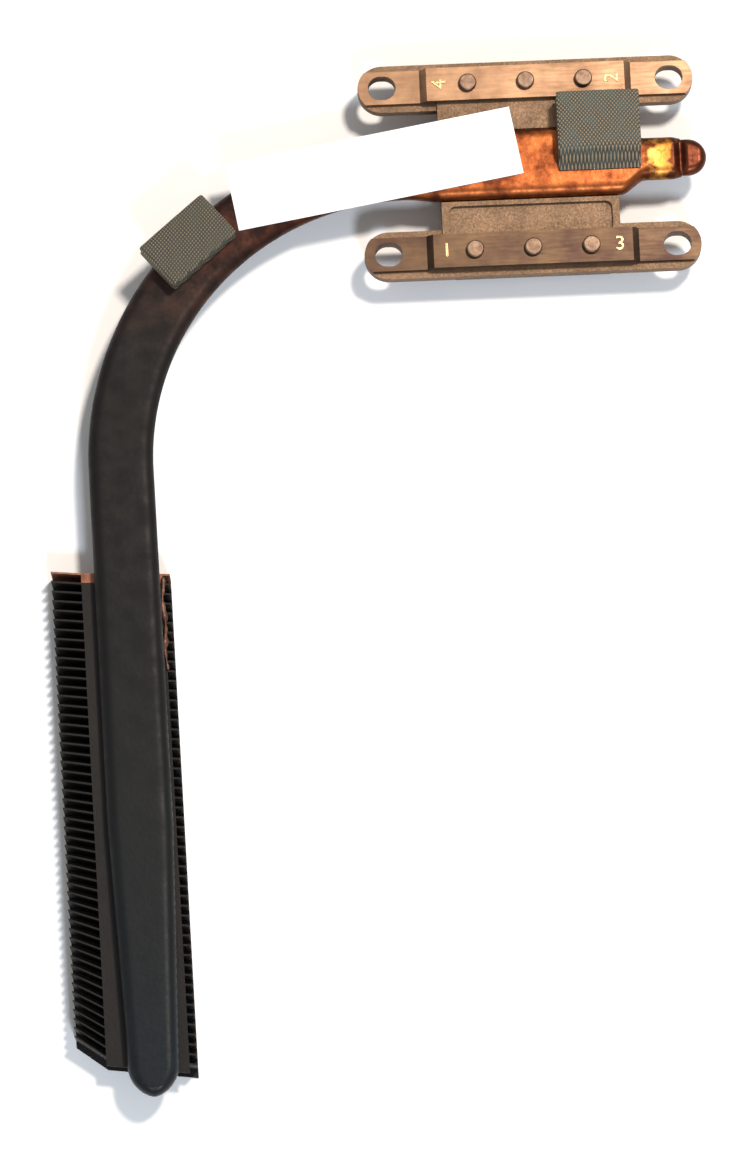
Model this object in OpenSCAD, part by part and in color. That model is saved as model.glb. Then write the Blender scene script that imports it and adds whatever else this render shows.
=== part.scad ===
// Flat heat pipe cooler: a flattened, bent heat pipe that joins a die-cast base to a stack of fins.
// The base screws down over a chip by four slots, and two spring strips spread the screws' force.
// Origin: in plan at the centre of the four screw slots, in height at the contact face.
// +X runs along the spring strips towards the pipe's sealed tip, +Y away from the fins, +Z up.

/* [Heat pipe] */
// Width of the flattened pipe
pipe_w = 10.9; // [8:0.1:13]
// Thickness of the flattened pipe
pipe_t = 3.6; // [2.5:0.1:4.5]
// Width where the pipe is pressed flat in the base
evap_w = 12.1; // [10:0.1:13]
// Radius of the bend at the middle of the pipe
bend_r = 49.5; // [35:1:60]
// Middle of the pipe in the base, off the middle of the screw slots, away from the fins
pipe_shift = 0.4; // [0:0.1:1]
// Turn of the straight end past the right angle
cond_turn = 1.2; // [0:0.1:3]
// From the middle of the base to the start of the bend
bend_start = 21.1; // [18:0.1:40]
// Straight pipe between the bend and the first fin
fin_lead = 18.1; // [4:0.1:40]
// Width at the closed end under the last fin
nose_w = 8.4; // [6:0.1:11]
// Length over which the closed end narrows
nose_taper = 40; // [4:0.5:60]
// Width of the rounded point of the closed end
nose_point = 5; // [3:0.1:8]
// How far the closed end stands out past the last fin
nose_out = 4.6; // [1:0.1:10]

/* [Sealed tip] */
// Where the full width ends, from the middle of the base
shoulder_x = 15.2; // [12:0.1:18]
// Length of the shoulder that leads to the neck
shoulder_len = 4.4; // [2:0.1:8]
// Width of the neck
neck_w = 7.3; // [5:0.1:9]
// Length of the neck
neck_len = 5.2; // [2:0.1:8]
// Length of the pinched seal
pinch_len = 1.6; // [0.6:0.1:4]
// Thickness left at the pinched seal
pinch_t = 1.5; // [0.8:0.1:2.4]
// Width of the welded lobe at the tip
lobe_w = 6.3; // [4:0.1:7]
// Length of the welded lobe
lobe_len = 3.6; // [2:0.1:5]
// Thickness of the welded lobe
lobe_t = 2.9; // [1.5:0.1:3.4]

/* [Fins] */
// Number of fins
fin_count = 51; // [20:1:51]
// Distance from one fin to the next
fin_pitch = 1.63; // [1:0.01:2.5]
// Thickness of the fin sheet
fin_t = 0.3; // [0.15:0.05:0.5]
// Height of a fin, and so of the pipe's underside above the contact face
fin_h = 6.2; // [5:0.1:12]
// Reach of a fin to the outside of the pipe's middle
fin_out = 12.7; // [9:0.1:25]
// Reach of a fin to the inside of the pipe's middle
fin_in = 7.1; // [6.5:0.1:25]
// How far the folded top tab shows beyond the outside of the pipe
tab_out = 2.25; // [0.5:0.05:4]
// How far the folded top tab shows beyond the inside of the pipe
tab_in = 0.4; // [0.2:0.05:1]
// Slant of the first fin: drop along the pipe for each step across it
slant_first = 0.07; // [0:0.01:0.2]
// Slant of the last fin
slant_last = 0.15; // [0:0.01:0.2]
// Sweep of the first fin past its tab: rise for each step outwards
sweep_first = 0.05; // [0:0.01:0.3]
// Sweep of the last fin past its tab
sweep_last = 0.6; // [0:0.01:1]

/* [Base casting] */
// Edge of the casting on the bend's side of the middle
base_left = 15.1; // [12:0.1:20]
// Edge of the casting on the tip's side of the middle
base_right = 14.9; // [12:0.1:20]
// Half length of the casting under the spring strips
row_half = 13.7; // [12:0.1:14.5]
// Height of the casting's deck above the pipe's underside
deck_rise = 2; // [1:0.1:4]
// Radius of the casting's corners, in plan
base_corner = 0.8; // [0.2:0.1:2]
// Depth of the pocket beside the pipe
pocket_deep = 0.7; // [0.3:0.1:1.5]
// Thickness of the pocket's rim
pocket_rim = 1.2; // [0.6:0.1:3]
// Wall between the pocket and the pipe's channel
pocket_wall = 0.8; // [0.4:0.1:2]
// Corner radius of the pocket
pocket_corner = 1.2; // [0.3:0.1:2]
// Thickness of the four ears
ear_t = 2; // [1:0.1:4]
// Width of the four ears
ear_w = 8.2; // [6:0.1:10]
// Height of the lands that carry the spring strips, above the deck
land_rise = 0.5; // [0.2:0.1:2]
// How far a land stays inside the ends of the casting under its strip
land_inset = 0.3; // [0.2:0.1:2]
// How far a land stays inside the edges of its strip
land_margin = 0.2; // [0:0.1:0.5]
// How far the casting shows past the outer edge of a strip
row_margin = 0.1; // [0:0.1:2]

/* [Contact plate] */
// Length of the copper plate along the pipe
plate_x = 25; // [15:0.5:26]
// Width of the copper plate
plate_y = 27; // [15:0.5:30]
// Thickness of the copper plate
plate_t = 2; // [1:0.1:3]
// Depth that the plate is let into the casting
plate_sunk = 0.7; // [0.2:0.1:1.5]

/* [Spring strips] */
// Distance between the screw slots along the strips
slot_space_x = 48.7; // [44:0.1:60]
// Distance between the screw slots across the strips
slot_space_y = 29.2; // [27:0.1:40]
// Width of a screw slot
slot_w = 4.1; // [3:0.1:4.4]
// Length of a screw slot
slot_len = 4.7; // [4:0.1:6]
// Width of a strip
strip_w = 5.8; // [5:0.1:7]
// Thickness of a strip
strip_t = 0.8; // [0.4:0.1:1.5]
// How far a strip runs past the middle of its slot
strip_end = 4.05; // [3:0.1:6]
// Half length of a strip's raised middle
raised_half = 16.8; // [15:0.1:17.5]
// Length of the step down to the tabs
step_len = 1.1; // [0.5:0.1:3]
// Drop of the step down to the tabs
step_drop = 1.1; // [0.5:0.1:2]

/* [Rivets] */
// Distance between the rivets of a strip
rivet_space = 9.8; // [6:0.1:11]
// Diameter of a rivet's head
head_d = 3; // [2:0.1:4]
// Height of a rivet's head
head_h = 0.9; // [0.4:0.1:1.5]
// Diameter of a rivet's shank
shank_d = 1.8; // [1:0.1:1.9]
// Depth that a shank goes into the casting
shank_deep = 2; // [1:0.1:4]

/* [Gaskets and label] */
// Height of the foam gaskets above the pipe
gasket_h = 3.8; // [2:0.1:6]
// Length of the gasket on the base, along the pipe
base_gasket_x = 14.3; // [8:0.1:18]
// Width of the gasket on the base, at its foot
base_gasket_y = 13.3; // [8:0.1:14]
// Start of the gasket on the base, from the middle of the base
base_gasket_start = 4.7; // [2:0.1:8]
// How far the front face of the gasket on the base leans back
gasket_lean = 3.3; // [0:0.1:4]
// Length of the gasket on the bend
bend_gasket_x = 14.4; // [8:0.1:20]
// Width of the gasket on the bend
bend_gasket_y = 9.2; // [6:0.1:14]
// Place of the gasket round the bend, counted from its start
bend_gasket_angle = 44.8; // [20:0.1:70]
// Turn of the gasket on the bend, against the pipe below it
bend_gasket_turn = 4.8; // [0:0.1:10]
// How far the middle of the gasket on the bend lies outside the middle of the pipe
bend_gasket_shift = 2.9; // [0:0.1:6]
// Length of the label
label_x = 49; // [30:0.5:60]
// Width of the label
label_y = 11.9; // [6:0.1:14]
// Thickness of the label and its glue
label_t = 0.2; // [0.1:0.05:0.5]
// Slant of the label
label_turn = 9.5; // [0:0.1:10]
// Middle of the label, from the middle of the base towards the bend
label_middle = 26.2; // [25:0.1:35]
// Middle of the label, off the middle of the pipe
label_shift = -0.3; // [-1:0.1:1]

/* [Clearances] */
// Each side of the pipe in its channel
channel_gap = 0.15; // [0.05:0.01:0.3]
// Round the copper plate in its seat
plate_gap = 0.1; // [0.05:0.01:0.3]
// Round a rivet's shank where it passes through a strip
shank_gap = 0.1; // [0.05:0.01:0.3]
// Between a gasket and the strip or pipe beside it
gasket_gap = 0.15; // [0.05:0.01:0.5]

/* [Hidden] */
$fn = 64;
hull_fn = 32;
eps = 0.01;
cut = 40;
land_corner = 0.4;
land_root = 1;
nose_blunt = 0.75;

pipe_z = fin_h;
pipe_top = pipe_z + pipe_t;
stack_len = fin_count * fin_pitch;
tab_left = pipe_w / 2 + tab_out;
tab_right = pipe_w / 2 + tab_in;
cond_len = fin_lead + stack_len;

deck_z = pipe_z + deck_rise;
land_z = deck_z + land_rise;
ear_r = ear_w / 2;
ear_top = land_z - step_drop;
base_bottom = plate_t - plate_sunk;
channel_half = evap_w / 2 + channel_gap;
strip_y = slot_space_y / 2;
row_half_y = strip_y + strip_w / 2 + row_margin;
land_half_y = strip_w / 2 - land_margin;
pocket_top = pipe_shift - channel_half - pocket_wall;
pocket_bottom = land_half_y - strip_y;
pocket_r = min(pocket_corner, (pocket_top - pocket_bottom) / 2.5);
strip_half = slot_space_x / 2 + strip_end;

neck_x = shoulder_x + shoulder_len;
pinch_x = neck_x + neck_len;
tip_x = pinch_x + pinch_len + lobe_len;
lobe_x = tip_x - lobe_w / 2;

FIN_NODES = [for (i = [1:fin_count]) fin_name(i)];

function fin_name(i) = str("fin_", i < 10 ? "0" : "", i);

// Places its children in the frame of the straight end: the bend ends at the origin, the pipe runs along -Y.
module at_condenser() {
    translate([-bend_start - bend_r, pipe_shift - bend_r, 0])
        rotate([0, 0, cond_turn])
            children();
}

// Section of the flattened pipe: a flat band with round sides, standing on y = 0.
module pipe_section(w, t) {
    translate([-(w - t) / 2, 0]) square([w - t, t]);
    for (side = [-1, 1]) translate([side * (w - t) / 2, t / 2]) circle(d = t);
}

// A stretch of pipe along X.
module pipe_along_x(x0, x1, w, t) {
    translate([x0, pipe_shift, pipe_z + (pipe_t - t) / 2])
        rotate([90, 0, 90])
            linear_extrude(x1 - x0) pipe_section(w, t);
}

// A round, flat disc with a rolled rim: the shape of a closed pipe end seen from above.
module rolled_disc(w, t) {
    rotate_extrude($fn = hull_fn) intersection() {
        pipe_section(w, t);
        square([w, t]);
    }
}

// A thin slice of pipe, for blending one width into another.
module slice_x(x, w, t) {
    pipe_along_x(x, x + eps, w, t, $fn = hull_fn);
}

module heat_pipe() {
    color([0.55, 0.28, 0.16]) {
        pipe_along_x(-base_left, shoulder_x, evap_w, pipe_t);
        hull() {
            slice_x(-bend_start, pipe_w, pipe_t);
            slice_x(-base_left, evap_w, pipe_t);
        }
        translate([-bend_start, pipe_shift - bend_r, pipe_z])
            rotate([0, 0, 90])
                rotate_extrude(angle = 90, $fn = 128)
                    translate([bend_r, 0]) pipe_section(pipe_w, pipe_t);
        sealed_tip();
        condenser_pipe();
    }
}

// The shoulder, neck, pinched seal and welded lobe where the pipe was filled and closed.
module sealed_tip() {
    hull() {
        slice_x(shoulder_x, evap_w, pipe_t);
        slice_x(neck_x, neck_w, pipe_t);
    }
    pipe_along_x(neck_x, pinch_x, neck_w, pipe_t);
    hull() {
        slice_x(pinch_x, neck_w, pipe_t);
        slice_x(pinch_x + pinch_len / 2, lobe_w, pinch_t);
    }
    hull() {
        slice_x(pinch_x + pinch_len / 2, lobe_w, pinch_t);
        intersection() {
            translate([lobe_x, pipe_shift, pipe_z + (pipe_t - lobe_t) / 2]) rolled_disc(lobe_w, lobe_t);
            translate([pinch_x + pinch_len, -cut / 2, 0]) cube(cut);
        }
    }
}

// A thin slice of pipe across Y, in front of the place given.
module slice_y(y, w, t) {
    translate([0, y + eps, pipe_z]) rotate([90, 0, 0]) linear_extrude(eps) pipe_section(w, t);
}

// The straight pipe over the fins, which narrows to a rounded closed end.
module condenser_pipe() {
    point_y = -cond_len - nose_out + nose_point / 2;
    nose_y = point_y + (nose_w - nose_point) * nose_blunt;
    hull() {
        translate([-bend_start - bend_r, pipe_shift - bend_r, 0])
            slice_y(-eps, pipe_w, pipe_t, $fn = hull_fn);
        at_condenser() {
            slice_y(nose_y + nose_taper, pipe_w, pipe_t, $fn = hull_fn);
            translate([0, nose_y, pipe_z]) rolled_disc(nose_w, pipe_t);
            translate([0, point_y, pipe_z]) rolled_disc(nose_point, pipe_t);
        }
    }
}

// A box with round corners in plan.
module soft_box(x0, x1, y0, y1, z0, z1, r) {
    translate([0, 0, z0]) linear_extrude(z1 - z0) {
        translate([x0 + r, y0]) square([x1 - x0 - 2 * r, y1 - y0]);
        translate([x0, y0 + r]) square([x1 - x0, y1 - y0 - 2 * r]);
        for (x = [x0 + r, x1 - r], y = [y0 + r, y1 - r]) translate([x, y]) circle(r);
    }
}

// The outline of one screw slot, centred on the origin.
module slot_outline() {
    run = (slot_len - slot_w) / 2;
    translate([-run, -slot_w / 2]) square([2 * run, slot_w]);
    for (side = [-1, 1]) translate([side * run, 0]) circle(d = slot_w);
}

// The slots of both strips, or of one row of ears.
module screw_slots(rows) {
    for (x = [-1, 1], row = rows)
        translate([x * slot_space_x / 2, row * strip_y, 0])
            linear_extrude(cut) slot_outline();
}

// One pair of ears with the arm that joins them, along X.
module ear_pair(row) {
    translate([0, row * strip_y, ear_top - ear_t]) linear_extrude(ear_t) {
        translate([-slot_space_x / 2, -ear_r]) square([slot_space_x, ear_w]);
        for (x = [-1, 1]) translate([x * slot_space_x / 2, 0]) circle(ear_r);
    }
}

module rivet_places(row) {
    for (i = [-1:1]) translate([i * rivet_space, row * strip_y, 0]) children();
}

module base_casting() {
    color([0.45, 0.36, 0.28]) difference() {
        union() {
            soft_box(-base_left, base_right, -strip_y, strip_y, base_bottom, deck_z, base_corner);
            soft_box(-row_half, row_half, -row_half_y, row_half_y, base_bottom, deck_z, base_corner);
            for (row = [-1, 1]) {
                ear_pair(row);
                soft_box(-row_half + land_inset, row_half - land_inset, row * strip_y - land_half_y,
                    row * strip_y + land_half_y, deck_z - land_root, land_z, land_corner);
            }
        }
        // channel for the pipe
        translate([-cut, pipe_shift - channel_half, pipe_z]) cube([2 * cut, 2 * channel_half, cut]);
        // pocket between the pipe and the lower strip
        soft_box(-base_left + pocket_rim, base_right - pocket_rim, pocket_bottom, pocket_top,
            deck_z - pocket_deep, cut, pocket_r);
        // seat of the contact plate
        translate([-plate_x / 2 - plate_gap, -plate_y / 2 - plate_gap, -1])
            cube([plate_x + 2 * plate_gap, plate_y + 2 * plate_gap, plate_t + 1]);
        screw_slots([-1, 1]);
        for (row = [-1, 1]) rivet_places(row)
            translate([0, 0, land_z - shank_deep]) cylinder(d = shank_d, h = cut);
    }
}

module contact_plate() {
    color([0.72, 0.42, 0.26])
        translate([-plate_x / 2, -plate_y / 2, 0]) cube([plate_x, plate_y, plate_t]);
}

// Side view of a strip: a raised middle, two steps and two tabs.
module strip_profile() {
    polygon([
        [-strip_half, ear_top], [-raised_half - step_len, ear_top], [-raised_half, land_z],
        [raised_half, land_z], [raised_half + step_len, ear_top], [strip_half, ear_top],
        [strip_half, ear_top + strip_t], [raised_half + step_len, ear_top + strip_t],
        [raised_half, land_z + strip_t], [-raised_half, land_z + strip_t],
        [-raised_half - step_len, ear_top + strip_t], [-strip_half, ear_top + strip_t]
    ]);
}

// Plan view of a strip: a band whose ends are arcs round the slots.
module strip_plan() {
    intersection() {
        translate([-strip_half, -strip_w / 2]) square([2 * strip_half, strip_w]);
        union() {
            translate([-slot_space_x / 2, -strip_w]) square([slot_space_x, 2 * strip_w]);
            for (x = [-1, 1]) translate([x * slot_space_x / 2, 0]) circle(strip_end);
        }
    }
}

module spring_strip(row) {
    color([0.48, 0.36, 0.27]) difference() {
        intersection() {
            translate([0, row * strip_y + strip_w / 2, 0])
                rotate([90, 0, 0]) linear_extrude(strip_w) strip_profile();
            translate([0, row * strip_y, 0]) linear_extrude(cut) strip_plan();
        }
        screw_slots([row]);
        rivet_places(row) cylinder(d = shank_d + 2 * shank_gap, h = cut);
    }
}

module upper_strip() {
    spring_strip(1);
}

module lower_strip() {
    spring_strip(-1);
}

// A rivet: a shank in the casting and a low head with a rounded rim on the strip.
module rivet() {
    round_r = head_h / 3;
    top = land_z + strip_t;
    translate([0, 0, land_z - shank_deep]) cylinder(d = shank_d, h = shank_deep + strip_t + eps);
    translate([0, 0, top]) rotate_extrude() {
        square([head_d / 2 - round_r, head_h]);
        square([head_d / 2, head_h - round_r]);
        translate([head_d / 2 - round_r, head_h - round_r]) intersection() {
            circle(round_r);
            square(round_r);
        }
    }
}

module rivets() {
    color([0.6, 0.5, 0.44])
        for (row = [-1, 1]) rivet_places(row) rivet();
}

module label() {
    color("white")
        translate([-label_middle, pipe_shift + label_shift, pipe_top])
            rotate([0, 0, label_turn])
                translate([-label_x / 2, -label_y / 2, 0]) cube([label_x, label_y, label_t]);
}

// The gasket on the base: foam in cloth, with a front face that leans back, and a foot down to the deck.
module evaporator_gasket() {
    back = strip_y - strip_w / 2 - gasket_gap;
    front = back - base_gasket_y;
    foot = pipe_shift + channel_half + gasket_gap;
    color([0.35, 0.38, 0.34]) {
        translate([base_gasket_start, 0, 0]) rotate([90, 0, 90]) linear_extrude(base_gasket_x)
            polygon([
                [front, pipe_top], [back, pipe_top],
                [back, pipe_top + gasket_h], [front + gasket_lean, pipe_top + gasket_h]
            ]);
        translate([base_gasket_start, foot, deck_z])
            cube([base_right - base_corner - base_gasket_start, back - foot, pipe_top - deck_z + eps]);
    }
}

module bend_gasket() {
    color([0.38, 0.36, 0.31])
        translate([-bend_start, pipe_shift - bend_r, pipe_top])
            rotate([0, 0, bend_gasket_angle])
                translate([0, bend_r + bend_gasket_shift, 0])
                    rotate([0, 0, -bend_gasket_turn])
                        translate([-bend_gasket_x / 2, -bend_gasket_y / 2, 0])
                            cube([bend_gasket_x, bend_gasket_y, gasket_h]);
}

// Front face of fin i at a place across the stack: straight under its tab, then swept back outside it.
// The last fins are swept the most.
function along_stack(i) = (i - 1) / (fin_count - 1);
function fin_slant(i) = slant_first + (slant_last - slant_first) * along_stack(i);
function fin_sweep(i) = sweep_first + (sweep_last - sweep_first) * pow(along_stack(i), 3);
function fin_y(i, x) =
    -fin_lead - (i - 1) * fin_pitch - x * fin_slant(i) + max(0, -tab_left - x) * fin_sweep(i);
function fin_line(i, xs) = [for (x = xs) [x, fin_y(i, x)]];
function reversed(points) = [for (k = [len(points) - 1:-1:0]) points[k]];
function shifted(points, step) = [for (p = points) p - [0, step]];

// One fin: a thin plate with a folded foot below and a folded tab above, which reach the next fin.
module fin(i) {
    color(i == 1 ? [0.62, 0.38, 0.27] : [0.16, 0.12, 0.1]) at_condenser() {
        plate = fin_line(i, [-fin_out, -tab_left, fin_in]);
        linear_extrude(fin_h) polygon(concat(plate, shifted(reversed(plate), fin_t)));
        linear_extrude(fin_t)
            polygon(concat(shifted(plate, fin_t / 2), reversed(fin_line(i + 1, [-fin_out, -tab_left, fin_in]))));
        translate([0, 0, fin_h - fin_t]) linear_extrude(fin_t)
            polygon(concat(
                shifted(fin_line(i, [-tab_left, tab_right]), fin_t / 2),
                fin_line(i + 1, [tab_right, -tab_left])
            ));
    }
}

heat_pipe();
base_casting();
contact_plate();
upper_strip();
lower_strip();
rivets();
label();
evaporator_gasket();
bend_gasket();
for (i = [1:fin_count])
    fin(i);
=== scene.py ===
import math

import bmesh
import bpy
import numpy as np
from mathutils import Matrix, Vector


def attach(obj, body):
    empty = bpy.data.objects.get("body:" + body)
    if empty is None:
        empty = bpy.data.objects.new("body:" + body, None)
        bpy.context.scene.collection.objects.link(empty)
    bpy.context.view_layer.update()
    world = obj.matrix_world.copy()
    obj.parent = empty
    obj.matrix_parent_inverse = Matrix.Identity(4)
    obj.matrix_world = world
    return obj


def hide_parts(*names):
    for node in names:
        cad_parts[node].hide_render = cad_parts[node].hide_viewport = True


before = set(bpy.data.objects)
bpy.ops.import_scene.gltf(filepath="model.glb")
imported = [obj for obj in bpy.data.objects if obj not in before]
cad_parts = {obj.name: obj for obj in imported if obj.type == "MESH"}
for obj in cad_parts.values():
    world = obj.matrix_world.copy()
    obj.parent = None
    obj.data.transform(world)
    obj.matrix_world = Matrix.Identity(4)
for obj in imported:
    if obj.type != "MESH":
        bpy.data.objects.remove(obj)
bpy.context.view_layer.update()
mm = 0.001
scene = bpy.context.scene


def linear(hexColour):
    # sRGB hex to a linear RGBA tuple
    values = [int(hexColour[i:i + 2], 16) / 255 for i in (1, 3, 5)]
    return tuple(v / 12.92 if v <= 0.04045 else ((v + 0.055) / 1.055) ** 2.4 for v in values) + (1.0,)


def addNode(tree, kind, inputs=None, output=0, stops=None, **settings):
    # Adds a node and gives one of its outputs. An input that is a socket is linked and any other
    # is set; stops are the places and colours of a colour ramp.
    node = tree.nodes.new("ShaderNode" + kind)
    for key, value in settings.items():
        setattr(node, key, value)
    for key, value in (inputs or {}).items():
        if isinstance(value, bpy.types.NodeSocket):
            tree.links.new(value, node.inputs[key])
        else:
            node.inputs[key].default_value = value
    if stops:
        elements = node.color_ramp.elements
        while len(elements) < len(stops):
            elements.new(0.5)
        for element, (place, colour) in zip(elements, stops):
            element.position = place
            element.color = linear(colour) if isinstance(colour, str) else (colour, colour, colour, 1)
    return node.outputs[output]


def newMaterial(name, **sockets):
    material = bpy.data.materials.new(name)
    material.use_nodes = True
    tree = material.node_tree
    shader = tree.nodes["Principled BSDF"]
    for key, value in sockets.items():
        shader.inputs[key.replace("_", " ")].default_value = value
    return material, tree, shader


def newPiece(name, vertices, faces, material, smooth=True):
    mesh = bpy.data.meshes.new(name)
    mesh.from_pydata(vertices.tolist(), [], faces)
    mesh.polygons.foreach_set("use_smooth", [smooth] * len(mesh.polygons))
    mesh.materials.append(material)
    mesh.update()
    piece = bpy.data.objects.new(name, mesh)
    scene.collection.objects.link(piece)
    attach(piece, "root")
    return piece


def gridFaces(rows, columns, closed):
    # quads of a grid of rows by columns; closed joins the last column to the first
    r, c = np.meshgrid(np.arange(rows - 1), np.arange(columns if closed else columns - 1), indexing="ij")
    n = (c + 1) % columns
    return np.stack([r * columns + c, r * columns + n, (r + 1) * columns + n, (r + 1) * columns + c],
                    -1).reshape(-1, 4)


def tubeFaces(rows, ring):
    # quads round a tube made of rings, and one flat face at each end
    quads = gridFaces(rows, ring, True).tolist()
    return quads + [list(range(ring))[::-1], list(range((rows - 1) * ring, rows * ring))]


def turnOutward(mesh, mergeMm=0.0):
    # merges doubles where asked, then turns every face outwards
    work = bmesh.new()
    work.from_mesh(mesh)
    if mergeMm:
        bmesh.ops.remove_doubles(work, verts=work.verts, dist=mergeMm * mm)
    bmesh.ops.recalc_face_normals(work, faces=work.faces)
    work.to_mesh(mesh)
    work.free()


def setMaterial(node, material):
    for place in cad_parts[node].material_slots:
        place.material = material


def bevelledCopy(node, name, material, widthMm, segments=2):
    # a merged copy of a CAD node with its edges rounded, which stands for the node
    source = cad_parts[node]
    mesh = source.data.copy()
    work = bmesh.new()
    work.from_mesh(mesh)
    bmesh.ops.remove_doubles(work, verts=work.verts, dist=0.002 * mm)
    bmesh.ops.dissolve_limit(work, angle_limit=math.radians(1), verts=work.verts, edges=work.edges)
    work.to_mesh(mesh)
    work.free()
    mesh.materials.clear()
    mesh.materials.append(material)
    piece = bpy.data.objects.new(name, mesh)
    scene.collection.objects.link(piece)
    edge = piece.modifiers.new("edge", "BEVEL")
    edge.width = widthMm * mm
    edge.segments = segments
    edge.limit_method = "ANGLE"
    edge.angle_limit = math.radians(35)
    weighted = piece.modifiers.new("normals", "WEIGHTED_NORMAL")
    weighted.weight = 100
    mesh.polygons.foreach_set("use_smooth", [True] * len(mesh.polygons))
    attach(piece, "root")
    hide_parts(node)
    return piece


cameraPlan = {
    "tilt": 12.0,          # degrees off straight down, towards the fins' end
    "turn": 2.37,          # degrees that the object is turned in the view
    "distance": 0.9,       # metres
    "look": (-0.02962, -0.06933, 0.006),
    "metresUp": 0.1922051,  # what the long side takes in at the distance
    "sensor": 36,
}


def makeCamera(plan):
    tilt, turn = math.radians(plan["tilt"]), math.radians(plan["turn"])
    right = np.array([math.cos(turn), -math.sin(turn), 0])
    flat = np.array([math.sin(turn), math.cos(turn), 0])
    up = flat * math.cos(tilt) + np.array([0, 0, math.sin(tilt)])
    back = np.cross(right, up)
    data = bpy.data.cameras.new("camera")
    data.sensor_width = plan["sensor"]
    data.lens = plan["sensor"] * plan["distance"] / plan["metresUp"]
    camera = bpy.data.objects.new("camera", data)
    place = np.array(plan["look"]) + back * plan["distance"]
    matrix = np.eye(4)
    matrix[:3, 0], matrix[:3, 1], matrix[:3, 2], matrix[:3, 3] = right, up, back, place
    camera.matrix_world = Matrix(matrix.tolist())
    scene.collection.objects.link(camera)
    scene.camera = camera


lights = [
    # name, direction towards the light, distance, size, watts, colour
    ("key", (0.31, 0.34, 1.0), 1.2, 0.16, 13.0, "#fff4e8"),
    ("front", (0.19, -0.84, 1.0), 1.3, 0.22, 9.0, "#e6f1ff"),
]


def makeLights():
    middle = np.array([-0.025, -0.065, 0.0])
    for name, direction, distance, size, watts, colour in lights:
        data = bpy.data.lights.new(name, "AREA")
        data.shape = "DISK"
        data.size = size
        data.energy = watts
        data.color = linear(colour)[:3]
        lamp = bpy.data.objects.new(name, data)
        away = np.array(direction) / np.linalg.norm(direction)
        lamp.location = middle + away * distance
        lamp.rotation_mode = "QUATERNION"
        lamp.rotation_quaternion = Vector(away).to_track_quat("Z", "Y")
        scene.collection.objects.link(lamp)


def whiteShare(tree):
    # 1 for rays from the camera, from gloss and through glass
    path = addNode(tree, "LightPath").node.outputs
    seen = addNode(tree, "Math", {0: path["Is Camera Ray"], 1: path["Is Glossy Ray"]}, operation="MAXIMUM")
    return addNode(tree, "Math", {0: seen, 1: path["Is Transmission Ray"]}, operation="MAXIMUM")


def makeSurroundings():
    world = bpy.data.worlds.new("world")
    world.use_nodes = True
    tree = world.node_tree
    background = tree.nodes["Background"]
    strength = addNode(tree, "MapRange", {"Value": whiteShare(tree), "To Min": 0.35, "To Max": 1.0})
    background.inputs["Color"].default_value = (1, 1, 1, 1)
    tree.links.new(strength, background.inputs["Strength"])
    scene.world = world
    # pale card under the object
    material, tree, shader = newMaterial("paleCard", Roughness=0.9, Specular_IOR_Level=0.1)
    where = addNode(tree, "TexCoord", output="Object")
    tree.links.new(addNode(tree, "ValToRGB",
                           {"Fac": addNode(tree, "TexNoise",
                                           {"Vector": where, "Scale": 1 / (40 * mm), "Detail": 4.0,
                                            "Roughness": 0.6})}, stops=[(0.0, "#f6f6f5"),
            (1.0, "#fbfbfb")]),
                   shader.inputs["Base Color"])
    half = 1.2
    mesh = bpy.data.meshes.new("floor")
    mesh.from_pydata([(-half, -half, 0), (half, -half, 0), (half, half, 0), (-half, half, 0)], [],
                     [(0, 1, 2, 3)])
    mesh.materials.append(material)
    floor = bpy.data.objects.new("floor", mesh)
    scene.collection.objects.link(floor)


makeCamera(cameraPlan)
makeLights()
makeSurroundings()
scene.view_settings.view_transform = "Standard"
print("camera, lights and floor made")


pipe = {
    "width": 10.9, "thick": 3.6, "baseWidth": 12.1, "shift": 0.4, "bottom": 6.2,
    "bendRadius": 49.5, "bendStart": 21.1, "turn": 1.2, "straight": 105.83,
    "baseLeft": 15.1, "shoulder": 15.2, "neck": 19.6, "neckWidth": 7.3, "pinchStart": 24.8, "pinch": 25.6,
    "lobeStart": 26.4, "tip": 30.0, "lobeWidth": 6.3, "lobeThick": 2.9, "pinchThick": 1.5,
    "noseWidth": 8.4, "noseTaper": 40.0, "noseRound": 5.05, "stations": 620, "ring": 56,
}


def smooth(t):
    t = np.clip(t, 0, 1)
    return t * t * (3 - 2 * t)


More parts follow.
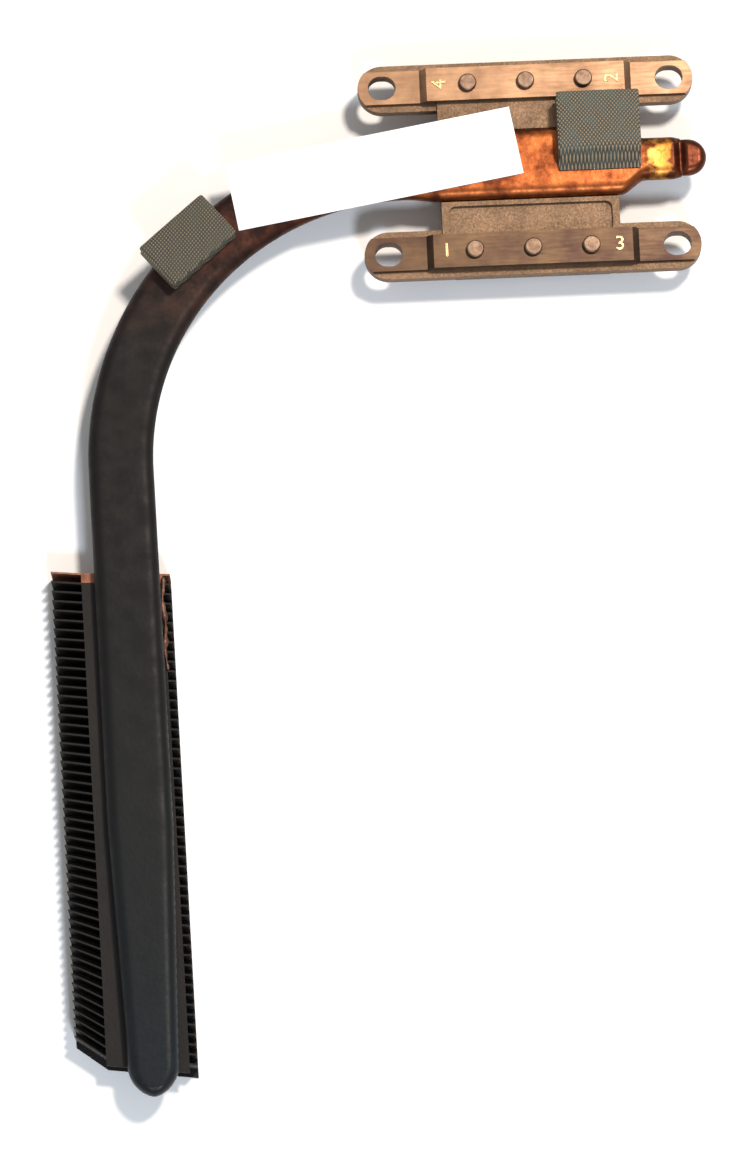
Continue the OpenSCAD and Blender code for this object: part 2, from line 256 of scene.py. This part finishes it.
def pipeSurface(p):
    # A flat band with round sides, carried along a line: straight out of the tip, round a quarter
    # bend and straight to the nose. Its half width and thickness change with the distance s along it.
    lengthA = p["tip"] + p["bendStart"]
    lengthB = p["bendRadius"] * math.pi / 2
    total = lengthA + lengthB + p["straight"]
    ends = 2.0 * (1 - np.cos(np.linspace(0, math.pi / 2, 30)))
    s = np.unique(np.concatenate([ends, total - ends, np.linspace(0, 22, 120),
                                  np.linspace(22, total, p["stations"])]))
    angle = np.clip((s - lengthA) / p["bendRadius"], 0, math.pi / 2)
    turn = math.radians(p["turn"]) * smooth((s - lengthA - lengthB + 1) / 2)
    past = np.clip(s - lengthA - lengthB, 0, None)
    centreX = np.where(s < lengthA, p["tip"] - s, -p["bendStart"] - p["bendRadius"] * np.sin(angle))
    centreX = centreX + past * math.sin(math.radians(p["turn"]))
    centreY = p["shift"] - p["bendRadius"] * (1 - np.cos(angle)) - past * math.cos(math.radians(p["turn"]))
    heading = math.pi + angle + turn
    # half width
    x = p["tip"] - s
    half = np.full_like(s, p["width"] / 2)
    inBase = p["width"] / 2 + (p["baseWidth"] - p["width"]) / 2 * smooth((x + p["bendStart"]) /
                                                                       (p["bendStart"] - p["baseLeft"]))
    half = np.where(x > -p["bendStart"], inBase, half)
    toNeck = smooth((x - p["shoulder"]) / (p["neck"] - p["shoulder"]))
    half = np.where(x > p["shoulder"], p["baseWidth"] / 2 + (p["neckWidth"] - p["baseWidth"]) / 2 * toNeck,
                    half)
    squeeze = np.exp(-((x - p["pinch"]) / 0.9) ** 2)
    half = np.where(x > p["neck"], half - 0.25 * squeeze, half)
    lobeR = p["lobeWidth"] / 2
    lobeX = p["tip"] - lobeR
    half = np.where(x > p["pinch"], np.minimum(half, lobeR), half)
    half = np.where(x > lobeX, np.sqrt(np.clip(lobeR ** 2 - (x - lobeX) ** 2, 1e-6, None)), half)
    left = total - s
    noseAt = p["noseRound"]
    half = np.where(left < noseAt + p["noseTaper"], p["noseWidth"] / 2 + (p["width"] - p["noseWidth"]) / 2 *
                    np.clip((left - noseAt) / p["noseTaper"], 0, 1), half)
    half = np.where(left < noseAt,
                    p["noseWidth"] / 2 * np.clip(1 - ((noseAt - left) / noseAt) ** 2, 1e-6, 1) ** 0.62,
                    half)
    # thickness
    thick = np.full_like(s, p["thick"])
    thick = np.where(x > p["pinch"], p["pinchThick"] + (p["lobeThick"] - p["pinchThick"]) *
                     smooth((x - p["pinch"]) / (p["lobeStart"] + 0.4 - p["pinch"])), thick)
    thick = np.where((x > p["pinchStart"] - 0.4) & (x <= p["pinch"]),
                     p["thick"] + (p["pinchThick"] - p["thick"]) *
                     smooth((x - p["pinchStart"] + 0.4) / (p["pinch"] - p["pinchStart"] + 0.4)), thick)
    for near in (s, left):
        r = thick / 2
        rounded = thick * np.sqrt(np.clip(1 - (1 - np.clip(near / r, 0, 1)) ** 2, 1e-5, 1))
        thick = np.where(near < r, rounded, thick)
    # ring: two half circles with a flat between them
    k = p["ring"]
    phi = (np.arange(k) + 0.5) / k * 2 * math.pi
    side = np.sign(np.cos(phi))
    r = np.minimum(thick / 2, half)[:, None]
    flat = (half[:, None] - r)
    reach = np.abs(np.cos(phi)) * 1.9  # under 1 on the flats, above 1 on the round sides
    arc = np.clip((reach - 1) / 0.9, 0, 1) * math.pi / 2
    across = side * (flat * np.clip(reach, 0, 1) + r * np.sin(arc))
    high = np.sign(np.sin(phi)) * (thick / 2)[:, None] * np.cos(arc)
    nx, ny = -np.sin(heading)[:, None], np.cos(heading)[:, None]
    px = centreX[:, None] + nx * across
    py = centreY[:, None] + ny * across
    pz = p["bottom"] + p["thick"] / 2 + high
    points = np.stack([px, py, pz], -1).reshape(-1, 3) * mm
    return points, len(s), k, np.repeat(s / total, k)


def copperMaterial():
    # tarnished copper: bright where it was heated at the base, brown on the bend, black over the fins; the bluish
    # tint at the nose end is a painted reflection of gloss
    material, tree, shader = newMaterial("tarnishedCopper", Specular_IOR_Level=0.16)
    along = addNode(tree, "Attribute", output="Fac", attribute_name="along")
    where = addNode(tree, "TexCoord", output="Object")
    blotches = addNode(tree, "TexNoise",
                       {"Vector": where, "Scale": 1 / (3.5 * mm), "Detail": 6, "Roughness": 0.6})
    specks = addNode(tree, "TexNoise",
                     {"Vector": where, "Scale": 1 / (0.8 * mm), "Detail": 3, "Roughness": 0.6})
    wander = addNode(tree, "Math", {0: blotches, 1: 0.05, 2: -0.025}, operation="MULTIPLY_ADD")
    place = addNode(tree, "Math", {0: along, 1: wander}, operation="ADD")
    # the last stops of both tables turn bluish at the nose: a painted reflection of gloss, not a colour of the
    # copper
    bright = addNode(tree, "ValToRGB", {"Fac": place},
                     stops=[(0.0, "#5a3020"), (0.028, "#5a2f1e"), (0.034, "#d69a4a"), (0.042, "#6b3a20"),
                            (0.07, "#94512b"), (0.2, "#8a4a26"), (0.27, "#4a2618"), (0.40, "#33201a"),
                            (0.47, "#15100e"), (0.7, "#0c0b0b"), (0.9, "#0d1012"), (1.0, "#172025")])
    dark = addNode(tree, "ValToRGB", {"Fac": place},
                   stops=[(0.0, "#2e150d"), (0.028, "#351a10"), (0.034, "#b0722f"), (0.042, "#3a1c11"),
                          (0.07, "#5a2b17"), (0.2, "#4a2414"), (0.27, "#26130d"), (0.40, "#1c110e"),
                          (0.47, "#0d0a09"), (0.7, "#080707"), (1.0, "#0c1114")])
    patch = addNode(tree, "ValToRGB", {"Fac": blotches}, stops=[(0.38, 0.0), (0.62, 1.0)])
    colour = addNode(tree, "Mix", {0: patch, 6: bright, 7: dark}, 2, data_type="RGBA", blend_type="MIX")
    grit = addNode(tree, "ValToRGB", {"Fac": specks}, stops=[(0.35, 0.75), (0.6, 1.0)])
    colour = addNode(tree, "Mix", {0: 0.7, 6: colour, 7: grit}, 2, data_type="RGBA", blend_type="MULTIPLY")
    tree.links.new(colour, shader.inputs["Base Color"])
    tree.links.new(addNode(tree, "ValToRGB", {"Fac": place},
                           stops=[(0.0, 0.95), (0.3, 0.9), (0.46, 0.1),
                                  (1.0, 0.05)]), shader.inputs["Metallic"])
    gloss = addNode(tree, "ValToRGB", {"Fac": place},
                    stops=[(0.0, 0.32), (0.25, 0.38), (0.5, 0.5), (0.8, 0.42), (1.0, 0.28)])
    tree.links.new(addNode(tree, "Mix", {0: 0.12, 6: gloss, 7: patch}, 2, data_type="RGBA",
                           blend_type="ADD"), shader.inputs["Roughness"])
    height = addNode(tree, "Mix", {0: 0.3, 6: blotches, 7: specks}, 2, data_type="RGBA", blend_type="MIX")
    normal = addNode(tree, "Bump", {"Height": height, "Strength": 0.6, "Distance": 0.12 * mm})
    tree.links.new(normal, shader.inputs["Normal"])
    return material


def makePipe():
    points, rows, ring, along = pipeSurface(pipe)
    piece = newPiece("heatPipe", points, tubeFaces(rows, ring), copperMaterial())
    mark = piece.data.attributes.new("along", "FLOAT", "POINT")
    mark.data.foreach_set("value", along.astype(np.float32))
    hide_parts("heat_pipe")
    turnOutward(piece.data)


makePipe()
print("heat pipe made")


def castMaterial():
    # die-cast aluminium alloy, dulled bronze: fine pitted grain
    material, tree, shader = newMaterial("castAlloy", Metallic=0.75)
    where = addNode(tree, "TexCoord", output="Object")
    broad = addNode(tree, "TexNoise",
                    {"Vector": where, "Scale": 1 / (6 * mm), "Detail": 4, "Roughness": 0.6})
    grain = addNode(tree, "TexNoise",
                    {"Vector": where, "Scale": 1 / (0.35 * mm), "Detail": 3, "Roughness": 0.6})
    colour = addNode(tree, "ValToRGB", {"Fac": broad}, stops=[(0.3, "#5e4936"), (0.7, "#7a604a")])
    colour = addNode(tree, "Mix",
                     {0: 0.55, 6: colour,
                      7: addNode(tree, "ValToRGB", {"Fac": grain},
                                 stops=[(0.3, 0.6),
                                        (0.65, 1.0)])}, 2, data_type="RGBA", blend_type="MULTIPLY")
    tree.links.new(colour, shader.inputs["Base Color"])
    tree.links.new(addNode(tree, "ValToRGB", {"Fac": grain}, stops=[(0.3, 0.62), (0.7, 0.46)]),
                   shader.inputs["Roughness"])
    normal = addNode(tree, "Bump", {"Height": grain, "Strength": 0.7, "Distance": 0.06 * mm})
    tree.links.new(normal, shader.inputs["Normal"])
    return material


def stripMaterial(name, light, dark):
    # rolled spring steel with a warm stain: faint lines along the strip. The two colours handed in differ between
    # the strips as painted light and painted shade
    material, tree, shader = newMaterial(name, Metallic=0.9)
    where = addNode(tree, "TexCoord", output="Object")
    stretched = addNode(tree, "Mapping", {"Vector": where, "Scale": (0.12, 1.0, 1.0)})
    lines = addNode(tree, "TexNoise",
                    {"Vector": stretched, "Scale": 1 / (0.5 * mm), "Detail": 5, "Roughness": 0.6})
    broad = addNode(tree, "TexNoise",
                    {"Vector": where, "Scale": 1 / (7 * mm), "Detail": 3, "Roughness": 0.6})
    colour = addNode(tree, "ValToRGB", {"Fac": broad}, stops=[(0.32, dark), (0.68, light)])
    colour = addNode(tree, "Mix",
                     {0: 0.45, 6: colour,
                      7: addNode(tree, "ValToRGB", {"Fac": lines},
                                 stops=[(0.3, 0.7),
                                        (0.7, 1.0)])}, 2, data_type="RGBA", blend_type="MULTIPLY")
    tree.links.new(colour, shader.inputs["Base Color"])
    tree.links.new(addNode(tree, "ValToRGB", {"Fac": lines}, stops=[(0.3, 0.46), (0.7, 0.34)]),
                   shader.inputs["Roughness"])
    normal = addNode(tree, "Bump", {"Height": lines, "Strength": 0.5, "Distance": 0.03 * mm})
    tree.links.new(normal, shader.inputs["Normal"])
    return material


casting = bevelledCopy("base_casting", "baseCasting", castMaterial(), 0.25, 3)
# one steel in two copies: the upper strip's lighter colours are painted light, the lower strip's darker colours are
# painted shade
upper = bevelledCopy("upper_strip", "upperStrip", stripMaterial("warmSteelPaintedLight", "#8f6f55", "#654c39"),
                     0.13)
lower = bevelledCopy("lower_strip", "lowerStrip", stripMaterial("warmSteelPaintedShade", "#53402f", "#382822"),
                     0.13)


def rivetMaterial():
    # riveted steel heads, dull from the press
    material, tree, shader = newMaterial("rivetSteel", Metallic=0.9, Roughness=0.42)
    where = addNode(tree, "TexCoord", output="Object")
    broad = addNode(tree, "TexNoise",
                    {"Vector": where, "Scale": 1 / (1.2 * mm), "Detail": 4, "Roughness": 0.6})
    tree.links.new(addNode(tree, "ValToRGB", {"Fac": broad}, stops=[(0.3, "#4e3b31"), (0.7, "#75604f")]),
                   shader.inputs["Base Color"])
    normal = addNode(tree, "Bump", {"Height": broad, "Strength": 0.5, "Distance": 0.05 * mm})
    tree.links.new(normal, shader.inputs["Normal"])
    return material


def plateMaterial():
    # fly-cut copper: faint arcs from the cutter
    material, tree, shader = newMaterial("flyCutCopper", Metallic=1.0, Roughness=0.3)
    where = addNode(tree, "TexCoord", output="Object")
    rings = addNode(tree, "TexWave", {"Vector": where, "Scale": 1 / (2.2 * mm), "Distortion": 0.4}, "Fac",
                    wave_type="RINGS", rings_direction="Z")
    tree.links.new(addNode(tree, "ValToRGB", {"Fac": rings}, stops=[(0.0, "#b56a45"), (1.0, "#cf855c")]),
                   shader.inputs["Base Color"])
    normal = addNode(tree, "Bump", {"Height": rings, "Strength": 0.4, "Distance": 0.01 * mm})
    tree.links.new(normal, shader.inputs["Normal"])
    return material


setMaterial("rivets", rivetMaterial())
setMaterial("contact_plate", plateMaterial())
print("base made")


stamps = {
    "size": 3.4, "raise": 0.07, "top": 9.5, "row": 14.6,
    "marks": [("4", -14.6, 1, 90), ("2", 14.6, 1, 90), ("3", 14.6, -1, 0), ("1", -14.6, -1, 0)],
}


def stampMaterial():
    # raised numbers, given a lighter colour than the metal around them
    material, tree, shader = newMaterial("stampedEdge", Metallic=0.9, Roughness=0.3)
    where = addNode(tree, "TexCoord", output="Object")
    tree.links.new(addNode(tree, "ValToRGB",
                           {"Fac": addNode(tree, "TexNoise",
                                           {"Vector": where, "Scale": 1 / (0.4 * mm), "Detail": 4,
                                            "Roughness": 0.6})}, stops=[(0.35, "#6b5238"),
            (0.6, "#c2a578")]),
                   shader.inputs["Base Color"])
    return material


def makeStamps(plan):
    material = stampMaterial()
    for text, x, row, degrees in plan["marks"]:
        curve = bpy.data.curves.new("number" + text, "FONT")
        curve.body = text
        curve.size = plan["size"]
        curve.extrude = plan["raise"]
        curve.bevel_depth = 0.05
        curve.align_x, curve.align_y = "CENTER", "CENTER"
        holder = bpy.data.objects.new("holder" + text, curve)
        scene.collection.objects.link(holder)
        bpy.context.view_layer.update()
        made = bpy.data.meshes.new_from_object(holder.evaluated_get(bpy.context.evaluated_depsgraph_get()))
        bpy.data.objects.remove(holder)
        flat = np.empty(len(made.vertices) * 3)
        made.vertices.foreach_get("co", flat)
        points = flat.reshape(-1, 3)
        angle = math.radians(degrees)
        turned = points.copy()
        turned[:, 0] = points[:, 0] * math.cos(angle) - points[:, 1] * math.sin(angle) + x
        turned[:, 1] = points[:, 0] * math.sin(angle) + points[:, 1] * math.cos(angle) + row * plan["row"]
        turned[:, 2] = points[:, 2] + plan["top"]
        faces = [tuple(p.vertices) for p in made.polygons]
        piece = newPiece("stamp" + text, turned * mm, faces, material, False)
        bpy.data.meshes.remove(made)


makeStamps(stamps)
print("stamps made")


gaskets = {
    "bottom": 9.82, "top": 13.55, "crown": 0.35, "grid": 29, "rounding": 0.55, "merge": 0.003,
    "base": {"low": (4.75, -1.75), "high": (18.95, 11.5), "lean": 3.3},
    "bend": {"low": (-7.15, -4.55), "high": (7.15, 4.55), "lean": 0.0, "turn": 40.0, "angle": 44.8,
             "shift": 2.9},
}


def clothMaterial(name, light, dark, shade):
    # conductive woven cloth over foam: crossing threads about 0.44 mm apart
    material, tree, shader = newMaterial(name, Roughness=0.7, Metallic=0.25)
    where = addNode(tree, "TexCoord", output="Object")
    waves = []
    for degrees in (45, -45):
        turned = addNode(tree, "Mapping", {"Vector": where, "Rotation": (0.6, 0, math.radians(degrees))})
        waves.append(addNode(tree, "TexWave",
                             {"Vector": turned, "Scale": 0.5 / (0.7 * mm), "Distortion": 0.8,
                                               "Detail": 1.0, "Detail Scale": 2.0}, "Fac"))
    weave = addNode(tree, "Mix", {0: 1.0, 6: waves[0], 7: waves[1]}, 2, data_type="RGBA",
                    blend_type="MULTIPLY")
    broad = addNode(tree, "TexNoise",
                    {"Vector": where, "Scale": 1 / (2.5 * mm), "Detail": 4, "Roughness": 0.6})
    colour = addNode(tree, "ValToRGB", {"Fac": weave}, stops=[(0.05, dark), (0.55, light)])
    # the third colour, mixed in patches, is the cool grey tint that the cloth's front shows under the bluish front
    # light: a painted tint of light
    colour = addNode(tree, "Mix",
                     {0: addNode(tree, "ValToRGB", {"Fac": broad}, stops=[(0.45, 0.0), (0.7, 0.5)]),
                      6: colour, 7: linear(shade)}, 2, data_type="RGBA", blend_type="MIX")
    tree.links.new(colour, shader.inputs["Base Color"])
    normal = addNode(tree, "Bump", {"Height": weave, "Strength": 0.9, "Distance": 0.12 * mm})
    tree.links.new(normal, shader.inputs["Normal"])
    return material


def paddedBlock(name, node, low, high, lean, crown, turnPlan, material):
    # A closed block on a grid: each of six sides is a crowned sheet whose edges are rounded.
    # Points start on a cube from -1 to 1, are pushed towards a rounded cube, and are scaled to size.
    n = gaskets["grid"]
    t = np.linspace(-1, 1, n)
    u, v = np.meshgrid(t, t, indexing="ij")
    sides = []
    for axis in range(3):
        for sign in (-1, 1):
            cube = np.zeros((n, n, 3))
            cube[..., axis] = sign
            cube[..., (axis + 1) % 3] = u
            cube[..., (axis + 2) % 3] = v if sign > 0 else -v
            sides.append(cube.reshape(-1, 3))
    q = np.concatenate(sides)
    size = (np.array(high) - np.array(low)) / 2
    middle = (np.array(high) + np.array(low)) / 2
    soft = gaskets["rounding"]
    p = q * size
    inner = size - soft
    core = np.clip(p, -inner, inner)
    d = p - core
    length = np.maximum(np.linalg.norm(d, axis=1, keepdims=True), 1e-9)
    p = np.where(length > 1e-6, core + d / length * np.minimum(length, soft), p)
    # sides pull in between the corners, the top is crowned
    pull = crown * (1 - q[:, 2] ** 2)
    p[:, 0] -= np.sign(q[:, 0]) * np.abs(q[:, 0]) ** 4 * pull * 0.6
    p[:, 1] -= np.sign(q[:, 1]) * np.abs(q[:, 1]) ** 4 * pull * 0.6
    edgeDrop = crown * (np.abs(q[:, 0]) ** 3 + np.abs(q[:, 1]) ** 3) / 2
    p[:, 2] -= np.where(q[:, 2] > 0, edgeDrop * q[:, 2], 0)
    ripple = 0.06 * np.sin(p[:, 0] * 1.7 + 0.4) * np.sin(p[:, 1] * 1.3 + 1.1)
    p[:, 2] += np.where(q[:, 2] > 0, (ripple - 0.06) * q[:, 2], 0)
    # the front face leans back as it rises
    rise = (q[:, 2] + 1) / 2
    p[:, 1] += lean * rise * (1 - (p[:, 1] + size[1]) / (2 * size[1]))
    p += middle
    angle, place = turnPlan
    c, s = math.cos(angle), math.sin(angle)
    points = np.stack([p[:, 0] * c - p[:, 1] * s + place[0], p[:, 0] * s + p[:, 1] * c + place[1], p[:, 2]],
                      1)
    one = gridFaces(n, n, False)
    faces = np.concatenate([one + k * n * n for k in range(6)])
    piece = newPiece(name, points * mm, faces.tolist(), material)
    turnOutward(piece.data, gaskets["merge"])
    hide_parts(node)


def makeGaskets(plan):
    base, bend = plan["base"], plan["bend"]
    paddedBlock("baseGasket", "evaporator_gasket", (*base["low"], plan["bottom"]),
                (*base["high"], plan["top"]),
                base["lean"], plan["crown"], (0.0, (0, 0)),
                clothMaterial("clothOverFoam", "#93826a", "#30322c", "#4f5f5b"))
    # the other stands on the bend, a little outside the middle of the pipe
    angle = math.radians(bend["angle"])
    radius = pipe["bendRadius"] + bend["shift"]
    place = (-pipe["bendStart"] - radius * math.sin(angle),
             pipe["shift"] - pipe["bendRadius"] + radius * math.cos(angle))
    paddedBlock("bendGasket", "bend_gasket", (*bend["low"], plan["bottom"]), (*bend["high"], plan["top"]),
                bend["lean"], plan["crown"], (math.radians(bend["turn"]), place),
                clothMaterial("clothOverFoamWorn", "#7a705b", "#2a2923", "#4a483c"))


makeGaskets(gaskets)
print("gaskets made")


def labelMaterial():
    # matt white paper, a little uneven
    material, tree, shader = newMaterial("whitePaper", Roughness=0.75)
    where = addNode(tree, "TexCoord", output="Object")
    tree.links.new(addNode(tree, "ValToRGB",
                           {"Fac": addNode(tree, "TexNoise",
                                           {"Vector": where, "Scale": 1 / (5 * mm), "Detail": 5,
                                            "Roughness": 0.6})}, stops=[(0.2, "#f1f1f0"),
            (0.8, "#fbfbfb")]),
                   shader.inputs["Base Color"])
    height = addNode(tree, "TexNoise",
                     {"Vector": where, "Scale": 1 / (0.5 * mm), "Detail": 3, "Roughness": 0.6})
    normal = addNode(tree, "Bump", {"Height": height, "Strength": 0.3, "Distance": 0.02 * mm})
    tree.links.new(normal, shader.inputs["Normal"])
    return material


setMaterial("label", labelMaterial())


def finMaterial(name, light, dark, metallic):
    # blackened copper sheet with fine dusty specks
    material, tree, shader = newMaterial(name, Metallic=metallic, Specular_IOR_Level=0.2)
    where = addNode(tree, "TexCoord", output="Object")
    broad = addNode(tree, "TexNoise",
                    {"Vector": where, "Scale": 1 / (4 * mm), "Detail": 5, "Roughness": 0.6})
    fine = addNode(tree, "TexNoise",
                   {"Vector": where, "Scale": 1 / (0.5 * mm), "Detail": 3, "Roughness": 0.6})
    colour = addNode(tree, "Mix",
                     {0: addNode(tree, "ValToRGB", {"Fac": fine}, stops=[(0.4, 0.0), (0.75, 0.6)]),
                      6: addNode(tree, "ValToRGB", {"Fac": broad}, stops=[(0.3, dark), (0.7, light)]),
                      7: linear("#1c1613" if metallic < 0.5 else "#3a2419")}, 2, data_type="RGBA", blend_type="MIX")
    tree.links.new(colour, shader.inputs["Base Color"])
    tree.links.new(addNode(tree, "ValToRGB", {"Fac": fine}, stops=[(0.3, 0.4), (0.7, 0.6)]),
                   shader.inputs["Roughness"])
    normal = addNode(tree, "Bump", {"Height": fine, "Strength": 0.6, "Distance": 0.05 * mm})
    tree.links.new(normal, shader.inputs["Normal"])
    return material


finBlack = finMaterial("blackenedFins", "#120f0e", "#080707", 0.15)
finCopper = finMaterial("endFinCopper", "#9a6a55", "#5e3a2c", 0.8)
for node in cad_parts:
    if node.startswith("fin_"):
        setMaterial(node, finCopper if node == "fin_01" else finBlack)
print("fins finished")


solder = {"start": 19.0, "end": 35.0, "across": 5.75, "high": 6.55, "radius": 0.55, "rings": 60, "ring": 12}


def makeSolder(p):
    # A lumpy bead along the inner side of the pipe: rings carried along a straight line, whose
    # radius swells and shrinks as a sum of sines and closes at both ends.
    t = np.linspace(0, 1, p["rings"])
    radius = p["radius"] * (0.75 + 0.3 * np.sin(t * 19 + 0.6) + 0.2 * np.sin(t * 47)) * np.sin(np.pi * t) ** 0.3
    radius = np.maximum(radius, 0.02)
    sway = 0.18 * np.sin(t * 13 + 1.0)
    phi = np.arange(p["ring"]) / p["ring"] * 2 * math.pi
    x = p["across"] + sway[:, None] + radius[:, None] * np.cos(phi)
    z = p["high"] + 0.7 * radius[:, None] * np.sin(phi)
    y = -(p["start"] + (p["end"] - p["start"]) * t)[:, None] + 0 * phi
    turn = math.radians(pipe["turn"])
    startX, startY = -pipe["bendStart"] - pipe["bendRadius"], pipe["shift"] - pipe["bendRadius"]
    px = startX + x * math.cos(turn) - y * math.sin(turn)
    py = startY + x * math.sin(turn) + y * math.cos(turn)
    points = np.stack([px, py, z], -1).reshape(-1, 3) * mm
    piece = newPiece("solderBead", points, tubeFaces(p["rings"], p["ring"]),
                     finMaterial("oldSolder", "#7d5a4a", "#4a3229", 0.8))
    turnOutward(piece.data)


makeSolder(solder)
print("solder made")
